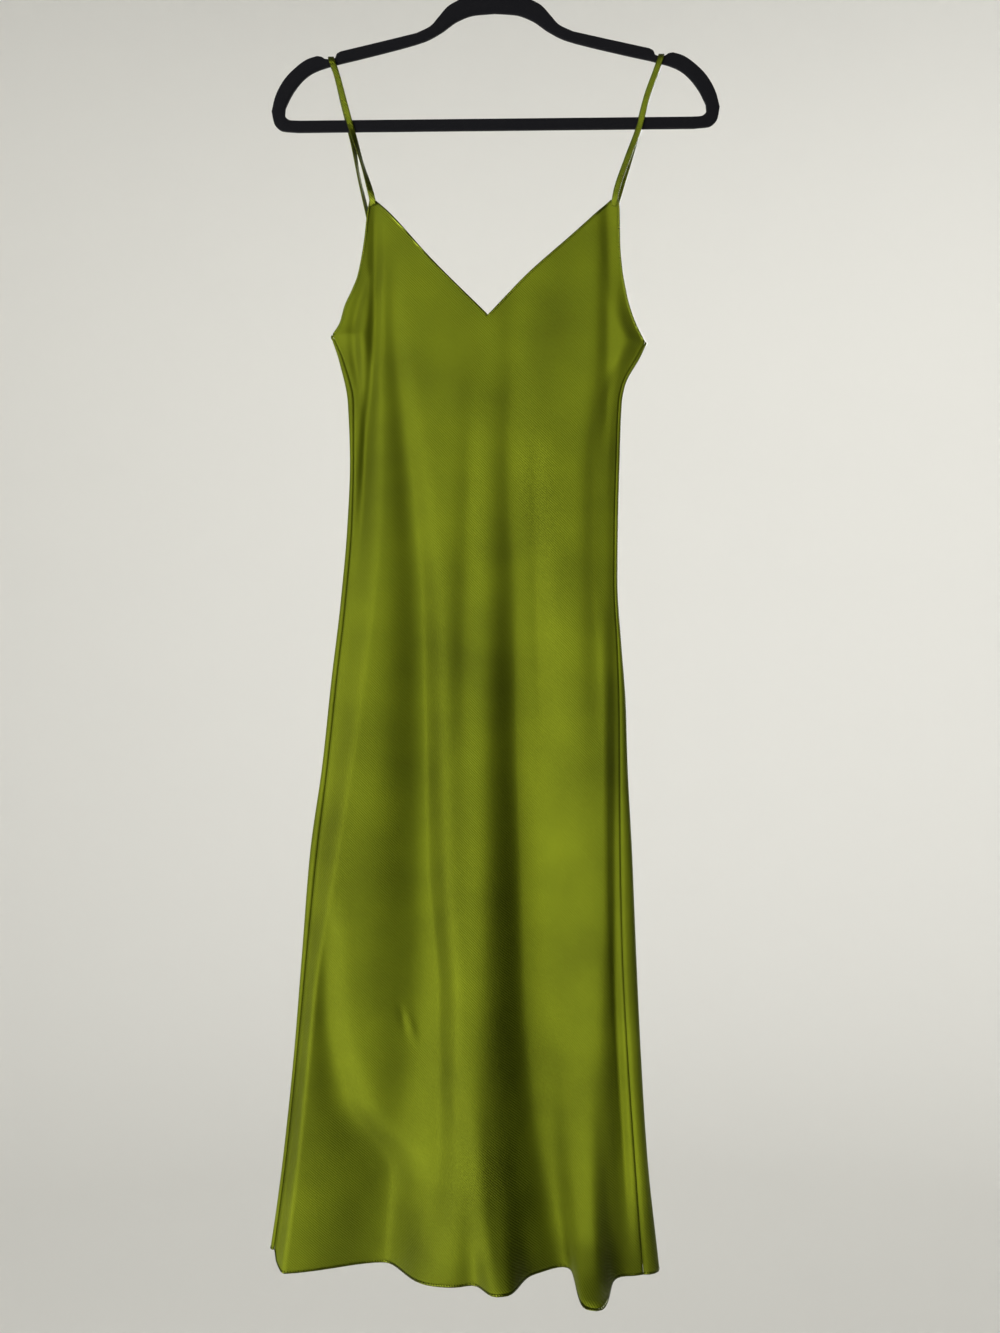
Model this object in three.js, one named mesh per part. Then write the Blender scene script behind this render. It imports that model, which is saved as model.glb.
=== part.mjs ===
// A bias-cut satin slip dress hanging by its two straps on a slim flocked hanger.
//
// Millimetres. X runs along the hanger, Y from the front of the dress to its back, Z up.
// The origin is the seat inside the top of the hook, where a rail or a peg holds it.
// Each piece that a maker cuts and sews is one closed wall of cloth: the front panel, the
// back panel and the two straps. The hanger is a moulded body with a bent wire hook.

import * as THREE from 'three';

// ---------------------------------------------------------------- driving dimensions

const CLOTH_WALL = 1.2;
const SEAM_GAP = 0.3;
const HEM_Z = -1361;
const HEM_CORNER = 16;
const HEM_CORNER_SHARE = 0.045;
const STRAP_WIDTH = 6;

const SEAM_EASE = 12;
const SEAM_START = 40;
const CROWN_REACH_BEHIND = 34;
const TURN_SHARE = 0.08;
const FOLD_FADE = 0.12;
const FOLD_POWER = 2;

const HANGER_THICKNESS = 6;
const HANGER_EDGE_ROUND = 1.4;
const HANGER_TILT = 0.6;
const HANGER_TILT_Z = -190;
const HOOK_INSIDE_RADIUS = 22;
const HOOK_WIRE = 3.6;
const HOOK_BEND_RADIUS = 12;
const HOOK_TIP_ANGLE = 196;
const NECK_TOP_Z = -84;

// ---------------------------------------------------------------- shape tables

// Edge of the front panel round each arm opening, from the strap down to the side seam.
const ARM_LEFT = [
  { z: -298, x: -125.3 },
  { z: -309, x: -127.5 },
  { z: -339, x: -131 },
  { z: -373, x: -137.5 },
  { z: -387, x: -143 },
  { z: -403, x: -150.5 },
  { z: -420, x: -155.5 },
  { z: -432, x: -163 },
];
const ARM_RIGHT = [
  { z: -298, x: 122.8 },
  { z: -309, x: 123.6 },
  { z: -341, x: 124.2 },
  { z: -367, x: 126.5 },
  { z: -389, x: 130.5 },
  { z: -405, x: 134.5 },
  { z: -420, x: 140 },
  { z: -439, x: 149.5 },
];

// The V neck: its edge on each side of the low point.
const NECK_LEFT = [
  { x: -120, z: -298 },
  { x: -104, z: -313 },
  { x: -64.5, z: -357 },
  { x: -7.5, z: -414 },
];
const NECK_RIGHT = [
  { x: -7.5, z: -414 },
  { x: 30.5, z: -374 },
  { x: 76.5, z: -333 },
  { x: 115, z: -298 },
];

// Each side below the arm opening. seam: where front meets back; edge: how far out the
// cloth turns; ahead: how far the seam lies before the hanger's plane; behind: how far
// the cloth lies behind it once it has turned.
const SIDE_LEFT = [
  { z: -432, seam: -163, edge: -164.8, ahead: 3, behind: 3 },
  { z: -457, seam: -152, edge: -156.5, ahead: 3.5, behind: 4 },
  { z: -500, seam: -141.5, edge: -147.5, ahead: 5, behind: 5 },
  { z: -560, seam: -141.5, edge: -145.5, ahead: 5, behind: 6 },
  { z: -620, seam: -143, edge: -148, ahead: 5, behind: 7 },
  { z: -700, seam: -149.5, edge: -155, ahead: 6, behind: 8 },
  { z: -780, seam: -158.5, edge: -164.5, ahead: 6, behind: 8 },
  { z: -860, seam: -167, edge: -173, ahead: 6, behind: 8 },
  { z: -950, seam: -178, edge: -185.5, ahead: 6, behind: 8 },
  { z: -1050, seam: -188, edge: -193.5, ahead: 6, behind: 8 },
  { z: -1150, seam: -197.5, edge: -201.5, ahead: 6, behind: 8 },
  { z: -1250, seam: -208, edge: -212, ahead: 5, behind: 8 },
  { z: -1300, seam: -214.5, edge: -218.5, ahead: 4, behind: 8 },
  { z: -1361, seam: -223, edge: -227.5, ahead: 4, behind: 8 },
];
const SIDE_RIGHT = [
  { z: -439, seam: 149.5, edge: 151.3, ahead: 3, behind: 3 },
  { z: -452, seam: 142.5, edge: 145.5, ahead: 3, behind: 4 },
  { z: -482, seam: 126.5, edge: 129.5, ahead: 3, behind: 5 },
  { z: -500, seam: 123, edge: 126.2, ahead: 4, behind: 5 },
  { z: -560, seam: 120.5, edge: 124, ahead: 4, behind: 6 },
  { z: -620, seam: 119, edge: 122.5, ahead: 4, behind: 7 },
  { z: -680, seam: 118.5, edge: 122, ahead: 5, behind: 8 },
  { z: -740, seam: 121.5, edge: 125.8, ahead: 5, behind: 8 },
  { z: -800, seam: 123.5, edge: 130.2, ahead: 6, behind: 8 },
  { z: -860, seam: 124, edge: 132, ahead: 6, behind: 8 },
  { z: -950, seam: 124.5, edge: 136.5, ahead: 8, behind: 8 },
  { z: -1050, seam: 126.5, edge: 140.5, ahead: 10, behind: 8 },
  { z: -1150, seam: 131.5, edge: 145, ahead: 13, behind: 7 },
  { z: -1250, seam: 138, edge: 151, ahead: 18, behind: 5 },
  { z: -1361, seam: 145.5, edge: 162.5, ahead: 26, behind: 2 },
];

// Top edge of the back panel across its width, from 0 at the left seam to 1 at the right.
const BACK_TOP = [
  { across: 0, z: -432 },
  { across: 0.22, z: -441.5 },
  { across: 0.5, z: -468 },
  { across: 0.78, z: -443 },
  { across: 1, z: -439 },
];

// How far ahead the front hangs, away from its left and right edges, and how far the back
// bellies out behind its seams. reach: how far in from each edge the front takes to get
// there.
const CROWN = [
  { z: -298, left: 8, right: 8, behind: 0, reachLeft: 34, reachRight: 20 },
  { z: -414, left: 13, right: 12, behind: 2, reachLeft: 34, reachRight: 20 },
  { z: -500, left: 17, right: 13, behind: 5, reachLeft: 34, reachRight: 20 },
  { z: -700, left: 22, right: 13, behind: 8, reachLeft: 34, reachRight: 18 },
  { z: -900, left: 25, right: 15, behind: 10, reachLeft: 28, reachRight: 16 },
  { z: -1100, left: 26, right: 21, behind: 12, reachLeft: 15, reachRight: 15 },
  { z: -1361, left: 27, right: 34, behind: 11, reachLeft: 15, reachRight: 14 },
];

// How far the arm openings' edges hang before the hanger's plane.
const ARM_AHEAD = [
  { z: -298, ahead: 8 },
  { z: -380, ahead: 5 },
  { z: -439, ahead: 3 },
];

// Folds, a row each. They run from one height down to another, and each list gives its
// column at even steps down that run: x of its bottom or crest, how wide it is to the left
// and to the right of that, and its rise off the cloth, where a rise below nothing is a
// trough. lean carries the crest sideways, and a power over 2 flattens it.
const FRONT_FOLDS = [
  { name: 'left strap fall', from: -304, to: -640, x: [-120, -120, -123, -131, -137],
    left: [6, 6, 6, 8, 10], right: [6, 6, 6, 8, 8], rise: [-3, -6, -8, -8, -2] },
  { name: 'left tip', from: -380, to: -520, x: [-130, -141, -139, -137],
    left: [5, 6, 6, 6], right: [5, 5, 6, 6], rise: [-2, -5, -4, -1] },
  { name: 'left hollow', from: -430, to: HEM_Z,
    x: [-101, -86, -75, -71, -68, -57, -58, -75], left: [9, 15, 22, 28, 36, 48, 50, 40],
    right: [10, 12, 14, 13, 13, 12, 16, 24], rise: [-3, -8, -14, -19, -22, -25, -20, -5] },
  { name: 'left hem hollow', from: -1020, to: HEM_Z, x: [-168, -166, -152, -108, -112],
    left: [10, 12, 24, 60, 66], right: [12, 14, 20, 28, 24], rise: [-4, -8, -15, -29, -33] },
  { name: 'left of centre', from: -500, to: -1010, x: [-24, -27, -30, -32, -33],
    left: [10, 12, 13, 13, 13], right: [10, 12, 14, 14, 14], rise: [-1, -3.5, -4, -2, -1] },
  { name: 'centre', from: -440, to: HEM_Z, x: [17, 15, 21, 22, 26, 30, 45, 68],
    left: [12, 13, 17, 18, 19, 22, 26, 27], right: [14, 20, 30, 44, 55, 50, 32, 16],
    rise: [-2, -5, -11, -19, -25, -29, -27, -26] },
  { name: 'right of centre', from: -560, to: -860, x: [40, 43, 50], left: [8, 9, 9],
    right: [9, 10, 10], rise: [-1.4, -2.8, -1] },
  { name: 'right strap fall', from: -304, to: -860, x: [112, 113, 101, 101, 101],
    left: [7, 9, 11, 12, 12], right: [7, 8, 9, 9, 9], rise: [-3, -5, -4.5, -4, -1] },
  { name: 'right side', from: -740, to: HEM_Z, x: [124, 125, 125, 124, 127, 131],
    left: [8, 9, 10, 12, 14, 12], right: [8, 8, 8, 8, 9, 12],
    rise: [-3, -7, -11, -15, -15, -5] },
  { name: 'centre ridge', from: -700, to: HEM_Z, x: [-25, -24, -24, -28, -40, -52],
    left: [38, 38, 40, 42, 44, 40], right: [30, 30, 32, 38, 42, 40],
    rise: [1, 4, 9, 15, 20, 27], power: 3 },
  { name: 'middle hem ridge', from: -1120, to: HEM_Z, x: [-10, -8, -4, 0, 6],
    left: [20, 20, 20, 20, 20], right: [20, 20, 20, 20, 20], rise: [0.5, 3, 7, 15, 45],
    power: 3 },
  { name: 'forward fold', from: -1130, to: HEM_Z, x: [78, 81, 85, 90, 96],
    left: [22, 21, 20, 18, 16.5], right: [22, 20, 19, 18, 18], rise: [0.5, 3, 8, 20, 44],
    power: 4, lean: [0, 0, -1, -3, -6] },
  { name: 'lip of the forward fold', from: -1321, to: HEM_Z, x: [92, 94, 96],
    left: [16, 16, 16], right: [17, 17, 17], rise: [0.2, 8, 32], power: 8 },
];
const BACK_FOLDS = [
  { name: 'left strap fall', from: -450, to: -900, x: [-98, -104, -112], left: [9, 12, 14],
    right: [9, 12, 14], rise: [-4, -6, -2] },
  { name: 'left fold', from: -620, to: HEM_Z, x: [-92, -98, -110, -128],
    left: [22, 24, 26, 28], right: [14, 16, 18, 20], rise: [3, 7, 11, 15] },
  { name: 'middle trough', from: -560, to: HEM_Z, x: [-28, -36, -44, -58],
    left: [14, 18, 22, 24], right: [20, 28, 32, 34], rise: [-3, -7, -10, -12] },
  { name: 'middle fold', from: -700, to: HEM_Z, x: [18, 14, 4, -4], left: [24, 26, 28, 28],
    right: [16, 18, 20, 20], rise: [3, 7, 10, 13] },
  { name: 'right trough', from: -600, to: HEM_Z, x: [62, 58, 54, 48],
    left: [14, 17, 20, 20], right: [18, 20, 24, 24], rise: [-3, -6, -9, -11] },
  { name: 'right fold', from: -640, to: HEM_Z, x: [92, 94, 96, 100],
    left: [15, 17, 19, 22], right: [15, 17, 19, 22], rise: [3, 6, 9, 12] },
];

// The straps' middle lines, from the front of the neck over the hanger to the back's top
// edge. turn is how far the strap's width is twisted from lying along X, in degrees.
const STRAP_LEFT = [
  { x: -122.7, y: -8, z: -297.3, turn: 0 },
  { x: -126.5, y: -7.2, z: -283, turn: 32 },
  { x: -132.8, y: -6, z: -262, turn: 62 },
  { x: -139.5, y: -5, z: -240, turn: 38 },
  { x: -145, y: -4.3, z: -222, turn: 6 },
  { x: -151, y: -4.6, z: -200, turn: 0 },
  { x: -159.8, y: -4.6, z: -168, turn: 0 },
  { x: -163.4, y: -4.4, z: -158.4, turn: 0 },
  { x: -164.3, y: -3.1, z: -155, turn: 0 },
  { x: -164.6, y: 0, z: -153.6, turn: 0 },
  { x: -164.3, y: 3.1, z: -155, turn: 0 },
  { x: -163.4, y: 4.4, z: -158.4, turn: 0 },
  { x: -159.8, y: 4.6, z: -168, turn: 0 },
  { x: -152, y: 4.6, z: -200, turn: 0 },
  { x: -146.5, y: 4.3, z: -222, turn: 10 },
  { x: -142.5, y: 4.8, z: -240, turn: 40 },
  { x: -137.8, y: 5.6, z: -268, turn: 66 },
  { x: -131.5, y: 6.4, z: -296, turn: 58 },
  { x: -117, y: 6.6, z: -355, turn: 20 },
  { x: -98.4, y: 6.2, z: -438.6, turn: 0 },
];
const STRAP_RIGHT = [
  { x: 118.9, y: -8, z: -297.3, turn: 0 },
  { x: 121, y: -7.6, z: -287, turn: 0 },
  { x: 131, y: -6, z: -258, turn: 0 },
  { x: 144.5, y: -4.3, z: -221, turn: 0 },
  { x: 150.5, y: -4.6, z: -196, turn: 0 },
  { x: 161.6, y: -4.6, z: -165, turn: 0 },
  { x: 164.8, y: -4.4, z: -155.6, turn: 0 },
  { x: 165.7, y: -3.1, z: -152.2, turn: 0 },
  { x: 166, y: 0, z: -150.8, turn: 0 },
  { x: 165.7, y: 3.1, z: -152.2, turn: 0 },
  { x: 164.8, y: 4.4, z: -155.6, turn: 0 },
  { x: 161.6, y: 4.6, z: -165, turn: 0 },
  { x: 150.5, y: 4.6, z: -196, turn: 0 },
  { x: 144, y: 4.3, z: -221, turn: 0 },
  { x: 120, y: 5.6, z: -302, turn: 0 },
  { x: 80.6, y: 6.2, z: -440.2, turn: 0 },
];

// The hanger's right half; the left half mirrors it. Its outside edge, and its opening.
const HANGER_OUTSIDE = [
  { x: 0, z: NECK_TOP_Z },
  { x: 12, z: -85.5 },
  { x: 24, z: -90.5 },
  { x: 37, z: -97 },
  { x: 46.5, z: -102.5 },
  { x: 56, z: -113 },
  { x: 64, z: -122 },
  { x: 78, z: -129 },
  { x: 110, z: -136.5 },
  { x: 134, z: -142 },
  { x: 154, z: -146.6 },
  { x: 158, z: -149 },
  { x: 160, z: -153.4 },
  { x: 165, z: -154.6 },
  { x: 170, z: -154 },
  { x: 173.5, z: -151.8 },
  { x: 178, z: -151 },
  { x: 187, z: -153.8 },
  { x: 198, z: -161 },
  { x: 212, z: -175.5 },
  { x: 220.5, z: -192 },
  { x: 224, z: -206 },
  { x: 221.5, z: -218 },
  { x: 213, z: -225.5 },
  { x: 198, z: -227 },
  { x: 120, z: -227 },
  { x: 0, z: -227 },
];
const HANGER_OPENING = [
  { x: 0, z: -110 },
  { x: 20, z: -111.5 },
  { x: 37, z: -117.5 },
  { x: 53, z: -128.5 },
  { x: 68, z: -136.5 },
  { x: 95, z: -144.5 },
  { x: 133, z: -153.8 },
  { x: 160, z: -160 },
  { x: 178, z: -165.8 },
  { x: 191, z: -174 },
  { x: 203, z: -189 },
  { x: 210, z: -203 },
  { x: 210.5, z: -210 },
  { x: 205, z: -215 },
  { x: 190, z: -215.5 },
  { x: 100, z: -215.5 },
  { x: 0, z: -215.5 },
];

// How finely each piece is drawn.
const FRONT_COLUMNS = [1, 19, 18, 2];
const FRONT_ROWS_ABOVE = 7;
const BACK_COLUMNS = [3, 21, 3];
const ROWS_BELOW = 22;
const ROW_BIAS = 1.25;
const STRAP_STEP = 14.4;
const STRAP_BEND_STEP = 2.2;
const STRAP_BEND_DEPTH = 4;
const STRAP_HEADING_STEP = 0.2;
const HANGER_STEP = 2.5;
const HANGER_TURN = 0.06;
const HOOK_SIDES = 10;
const HOOK_STEPS = 40;
const HOOK_TURNS = 14;
const HOOK_RUN_STOPS = [0, 0.5];
const PLAN_SAMPLES = 240;
const NECK_HALVINGS = 24;
const NORMAL_STEP = 1e-3;

// ---------------------------------------------------------------- small functions

function mix(a, b, t) {
  return a + (b - a) * t;
}

function ease(t) {
  const k = Math.min(1, Math.max(0, t));
  return k * k * (3 - 2 * k);
}

// A smooth curve through the rows' values that never runs past them.
function valueAt(rows, by, key, at) {
  const last = rows.length - 1;
  const way = Math.sign(rows[last][by] - rows[0][by]);
  if ((at - rows[0][by]) * way <= 0) {
    return rows[0][key];
  }
  if ((at - rows[last][by]) * way >= 0) {
    return rows[last][key];
  }
  let i = 0;
  while ((at - rows[i + 1][by]) * way > 0) {
    i += 1;
  }
  const slope = (k) => (rows[k + 1][key] - rows[k][key]) / (rows[k + 1][by] - rows[k][by]);
  const tangent = (k) => {
    if (k === 0) {
      return slope(0);
    }
    if (k === last) {
      return slope(last - 1);
    }
    const before = slope(k - 1);
    const after = slope(k);
    return before * after <= 0 ? 0 : (2 * before * after) / (before + after);
  };
  const span = rows[i + 1][by] - rows[i][by];
  const t = (at - rows[i][by]) / span;
  const a = rows[i][key];
  const b = rows[i + 1][key];
  const rise = t * t * (3 - 2 * t);
  const lead = t * (1 - t) * (1 - t) * span * tangent(i);
  const trail = t * t * (t - 1) * span * tangent(i + 1);
  return mix(a, b, rise) + lead + trail;
}

// A list of values at even steps, read at t from 0 to 1.
function alongList(values, t) {
  const rows = values.map((value, i) => ({ at: i / (values.length - 1), value }));
  return valueAt(rows, 'at', 'value', t);
}

// The folds' push at one place: sideways along X, and outwards.
function foldPush(folds, x, z) {
  let aside = 0;
  let out = 0;
  for (const fold of folds) {
    const t = (z - fold.from) / (fold.to - fold.from);
    const fadeIn = ease(t / FOLD_FADE + 1);
    if (fadeIn === 0 || (t > 1 + FOLD_FADE && fold.to !== HEM_Z)) {
      continue;
    }
    const fadeOut = fold.to === HEM_Z ? 1 : ease((1 - t) / FOLD_FADE + 1);
    const off = x - alongList(fold.x, t);
    const reach = Math.abs(off) / alongList(off < 0 ? fold.left : fold.right, t);
    const shape = Math.exp(-(reach ** (fold.power ?? FOLD_POWER))) * fadeIn * fadeOut;
    out += alongList(fold.rise, t) * shape;
    aside += fold.lean ? alongList(fold.lean, t) * shape : 0;
  }
  return { aside, out };
}

// A wall of cloth. pointAt gives the middle of the wall for two surface values, and rows
// lists those pairs, row by row; the wall stands half its thickness off each way.
function clothWall(pointAt, rows, thickness) {
  const columnCount = rows[0].length;
  const middle = rows.map((row) => row.map(([u, v]) => pointAt(u, v)));
  const offsets = rows.map((row) => row.map(([u, v]) => {
    const across = pointAt(Math.min(1, u + NORMAL_STEP), v);
    across.sub(pointAt(Math.max(0, u - NORMAL_STEP), v));
    const down = pointAt(u, Math.min(1, v + NORMAL_STEP));
    down.sub(pointAt(u, Math.max(0, v - NORMAL_STEP)));
    return down.cross(across).setLength(thickness / 2);
  }));
  const positions = [];
  for (const way of [1, -1]) {
    middle.forEach((row, i) => row.forEach((point, j) => {
      positions.push(...point.clone().addScaledVector(offsets[i][j], way).toArray());
    }));
  }
  const skin = rows.length * columnCount;
  const front = (i, j) => i * columnCount + j;
  const rear = (i, j) => skin + front(i, j);
  const faces = [];
  const quad = (a, b, c, d) => faces.push(a, b, c, a, c, d);
  const lastRow = rows.length - 1;
  const lastColumn = columnCount - 1;
  for (let i = 0; i < lastRow; i += 1) {
    for (let j = 0; j < lastColumn; j += 1) {
      quad(front(i, j), front(i + 1, j), front(i + 1, j + 1), front(i, j + 1));
      quad(rear(i, j), rear(i, j + 1), rear(i + 1, j + 1), rear(i + 1, j));
    }
    quad(front(i + 1, 0), front(i, 0), rear(i, 0), rear(i + 1, 0));
    quad(front(i, lastColumn), front(i + 1, lastColumn), rear(i + 1, lastColumn),
      rear(i, lastColumn));
  }
  for (let j = 0; j < lastColumn; j += 1) {
    quad(front(0, j), front(0, j + 1), rear(0, j + 1), rear(0, j));
    quad(front(lastRow, j + 1), front(lastRow, j), rear(lastRow, j), rear(lastRow, j + 1));
  }
  const geometry = new THREE.BufferGeometry();
  geometry.setAttribute('position', new THREE.Float32BufferAttribute(positions, 3));
  geometry.setIndex(faces);
  geometry.computeVertexNormals();
  return geometry;
}

// Columns for one row: each stretch between two keys takes its share at equal distances
// as seen in plan, so that steep sides of folds get as many as flat ones.
function evenColumns(pointAt, row, keys, counts) {
  const stops = [[keys[0], row]];
  for (let part = 0; part < counts.length; part += 1) {
    const lengths = [0];
    let before = pointAt(keys[part], row);
    for (let k = 1; k <= PLAN_SAMPLES; k += 1) {
      const u = mix(keys[part], keys[part + 1], k / PLAN_SAMPLES);
      const here = pointAt(u, row);
      lengths.push(lengths[k - 1] + Math.hypot(here.x - before.x, here.y - before.y));
      before = here;
    }
    let k = 0;
    for (let step = 1; step <= counts[part]; step += 1) {
      const wanted = (lengths[PLAN_SAMPLES] * step) / counts[part];
      while (k < PLAN_SAMPLES - 1 && lengths[k + 1] < wanted) {
        k += 1;
      }
      const share = (wanted - lengths[k]) / (lengths[k + 1] - lengths[k]);
      const u = mix(keys[part], keys[part + 1], Math.min(1, (k + share) / PLAN_SAMPLES));
      stops.push([u, row]);
    }
  }
  return stops;
}

// The hem's height: its left corner is rounded off.
function hemZ(across) {
  const corner = 1 - Math.min(1, across / HEM_CORNER_SHARE);
  return HEM_Z + HEM_CORNER * (1 - Math.sqrt(1 - corner * corner));
}

// ---------------------------------------------------------------- front panel

const TIP_LEFT_Z = SIDE_LEFT[0].z;
const TIP_RIGHT_Z = SIDE_RIGHT[0].z;

function frontEdgeX(z, arm, side) {
  return z > side[0].z ? valueAt(arm, 'z', 'x', z) : valueAt(side, 'z', 'seam', z);
}

function frontEdgeAhead(z, side) {
  return z > side[0].z ? valueAt(ARM_AHEAD, 'z', 'ahead', z) : valueAt(side, 'z', 'ahead', z);
}

function neckZ(x) {
  return x < NECK_RIGHT[0].x ? valueAt(NECK_LEFT, 'x', 'z', x) : valueAt(NECK_RIGHT, 'x', 'z', x);
}

// Share of the way across the front at a given place.
function shareAcross(x, z) {
  const left = frontEdgeX(z, ARM_LEFT, SIDE_LEFT);
  const right = frontEdgeX(z, ARM_RIGHT, SIDE_RIGHT);
  return (x - left) / (right - left);
}

function frontX(across, z) {
  const left = frontEdgeX(z, ARM_LEFT, SIDE_LEFT) + SEAM_GAP / 2;
  const right = frontEdgeX(z, ARM_RIGHT, SIDE_RIGHT) - SEAM_GAP / 2;
  return mix(left, right, across);
}

// Where a column that starts at a share across meets the neck's edge.
function frontTopZ(across) {
  let low = NECK_LEFT[NECK_LEFT.length - 1].z;
  let high = NECK_LEFT[0].z;
  for (let i = 0; i < NECK_HALVINGS; i += 1) {
    const z = (low + high) / 2;
    if (neckZ(frontX(across, z)) > z) {
      low = z;
    } else {
      high = z;
    }
  }
  return (low + high) / 2;
}

const ROW_SHARE_ABOVE = FRONT_ROWS_ABOVE / (FRONT_ROWS_ABOVE + ROWS_BELOW);

function frontZ(across, down) {
  const tip = mix(TIP_LEFT_Z, TIP_RIGHT_Z, across);
  if (down <= ROW_SHARE_ABOVE) {
    return mix(frontTopZ(across), tip, down / ROW_SHARE_ABOVE);
  }
  const t = (down - ROW_SHARE_ABOVE) / (1 - ROW_SHARE_ABOVE);
  return mix(tip, hemZ(across), t ** ROW_BIAS);
}

function frontPoint(across, down) {
  const z = frontZ(across, down);
  const x = frontX(across, z);
  const left = frontEdgeX(z, ARM_LEFT, SIDE_LEFT);
  const right = frontEdgeX(z, ARM_RIGHT, SIDE_RIGHT);
  const inside = Math.min(x - left, right - x);
  const crown = (key) => valueAt(CROWN, 'z', key, z);
  const edge = mix(frontEdgeAhead(z, SIDE_LEFT), frontEdgeAhead(z, SIDE_RIGHT), across);
  const middle = mix(crown('left'), crown('right'), across);
  const reach = mix(crown('reachLeft'), crown('reachRight'), across);
  const ahead = mix(edge, middle, ease(inside / reach));
  const push = foldPush(FRONT_FOLDS, x, z);
  const sewn = ease((mix(TIP_LEFT_Z, TIP_RIGHT_Z, across) - z) / SEAM_START);
  const held = mix(1, ease(inside / SEAM_EASE), sewn);
  return new THREE.Vector3(x + push.aside * held, -(ahead + push.out * held), z);
}

function frontRows() {
  const apexLeft = shareAcross(NECK_LEFT[0].x, NECK_LEFT[0].z);
  const low = shareAcross(NECK_RIGHT[0].x, NECK_RIGHT[0].z);
  const apexRight = shareAcross(NECK_RIGHT[3].x, NECK_RIGHT[3].z);
  const keys = [0, apexLeft, low, apexRight, 1];
  const count = FRONT_ROWS_ABOVE + ROWS_BELOW;
  const rows = [];
  for (let i = 0; i <= count; i += 1) {
    rows.push(evenColumns(frontPoint, i / count, keys, FRONT_COLUMNS));
  }
  return rows;
}

// ---------------------------------------------------------------- back panel

// The back wraps round each side to meet the front, so its outline in plan is a half
// turn at the left, the stretch across, and a half turn at the right. Its rows meet the
// front's rows at the seams.
function backZ(across, down) {
  const top = valueAt(BACK_TOP, 'across', 'z', across);
  return mix(top, hemZ(Math.max(0, across - TURN_SHARE)), down ** ROW_BIAS);
}

function turnPoint(side, way, angle, z) {
  const at = (key) => valueAt(side, 'z', key, z);
  const radius = (at('ahead') + at('behind')) / 2;
  const width = Math.abs(at('edge') - at('seam')) - SEAM_GAP / 2;
  const x = at('seam') + way * (SEAM_GAP / 2 + width * Math.sin(angle));
  const y = radius - at('ahead') - radius * Math.cos(angle);
  return new THREE.Vector3(x, y, z);
}

function backPoint(across, down) {
  const z = backZ(across, down);
  if (across < TURN_SHARE) {
    return turnPoint(SIDE_LEFT, -1, (Math.PI * across) / TURN_SHARE, z);
  }
  if (across > 1 - TURN_SHARE) {
    return turnPoint(SIDE_RIGHT, 1, (Math.PI * (1 - across)) / TURN_SHARE, z);
  }
  const share = (across - TURN_SHARE) / (1 - 2 * TURN_SHARE);
  const left = turnPoint(SIDE_LEFT, -1, Math.PI, z);
  const right = turnPoint(SIDE_RIGHT, 1, Math.PI, z);
  const x = mix(left.x, right.x, share);
  const inside = Math.min(x - left.x, right.x - x);
  const crown = valueAt(CROWN, 'z', 'behind', z) * ease(inside / CROWN_REACH_BEHIND);
  const push = foldPush(BACK_FOLDS, x, z);
  const held = ease(inside / SEAM_EASE);
  return new THREE.Vector3(x, mix(left.y, right.y, share) + crown + push.out * held, z);
}

function backRows() {
  const keys = [0, TURN_SHARE, 1 - TURN_SHARE, 1];
  const rows = [];
  for (let i = 0; i <= ROWS_BELOW; i += 1) {
    rows.push(evenColumns(backPoint, i / ROWS_BELOW, keys, BACK_COLUMNS));
  }
  return rows;
}

// ---------------------------------------------------------------- straps

function strapRowsAndPoint(table) {
  const path = table.map((row) => ({ ...row, at: 0 }));
  for (let i = 1; i < path.length; i += 1) {
    const a = path[i - 1];
    const b = path[i];
    b.at = a.at + Math.hypot(b.x - a.x, b.y - a.y, b.z - a.z);
  }
  const length = path[path.length - 1].at;
  const centre = (at) => new THREE.Vector3(
    valueAt(path, 'at', 'x', at),
    valueAt(path, 'at', 'y', at),
    valueAt(path, 'at', 'z', at),
  );
  const pointAt = (across, along) => {
    const at = along * length;
    const heading = centre(Math.min(length, at + STRAP_HEADING_STEP));
    heading.sub(centre(Math.max(0, at - STRAP_HEADING_STEP))).normalize();
    const turn = THREE.MathUtils.degToRad(valueAt(path, 'at', 'turn', at));
    const width = new THREE.Vector3(Math.cos(turn), Math.sin(turn), 0);
    width.addScaledVector(heading, -width.dot(heading)).setLength(STRAP_WIDTH);
    return centre(at).addScaledVector(width, across - 0.5);
  };
  const stops = [0];
  for (let i = 1; i < path.length; i += 1) {
    const span = path[i].at - path[i - 1].at;
    const depth = Math.min(Math.abs(path[i].y), Math.abs(path[i - 1].y));
    const count = Math.ceil(span / (depth < STRAP_BEND_DEPTH ? STRAP_BEND_STEP : STRAP_STEP));
    for (let k = 1; k <= count; k += 1) {
      stops.push((path[i - 1].at + (span * k) / count) / length);
    }
  }
  return { pointAt, rows: stops.map((along) => [[0, along], [1, along]]) };
}

// ---------------------------------------------------------------- hanger

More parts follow.
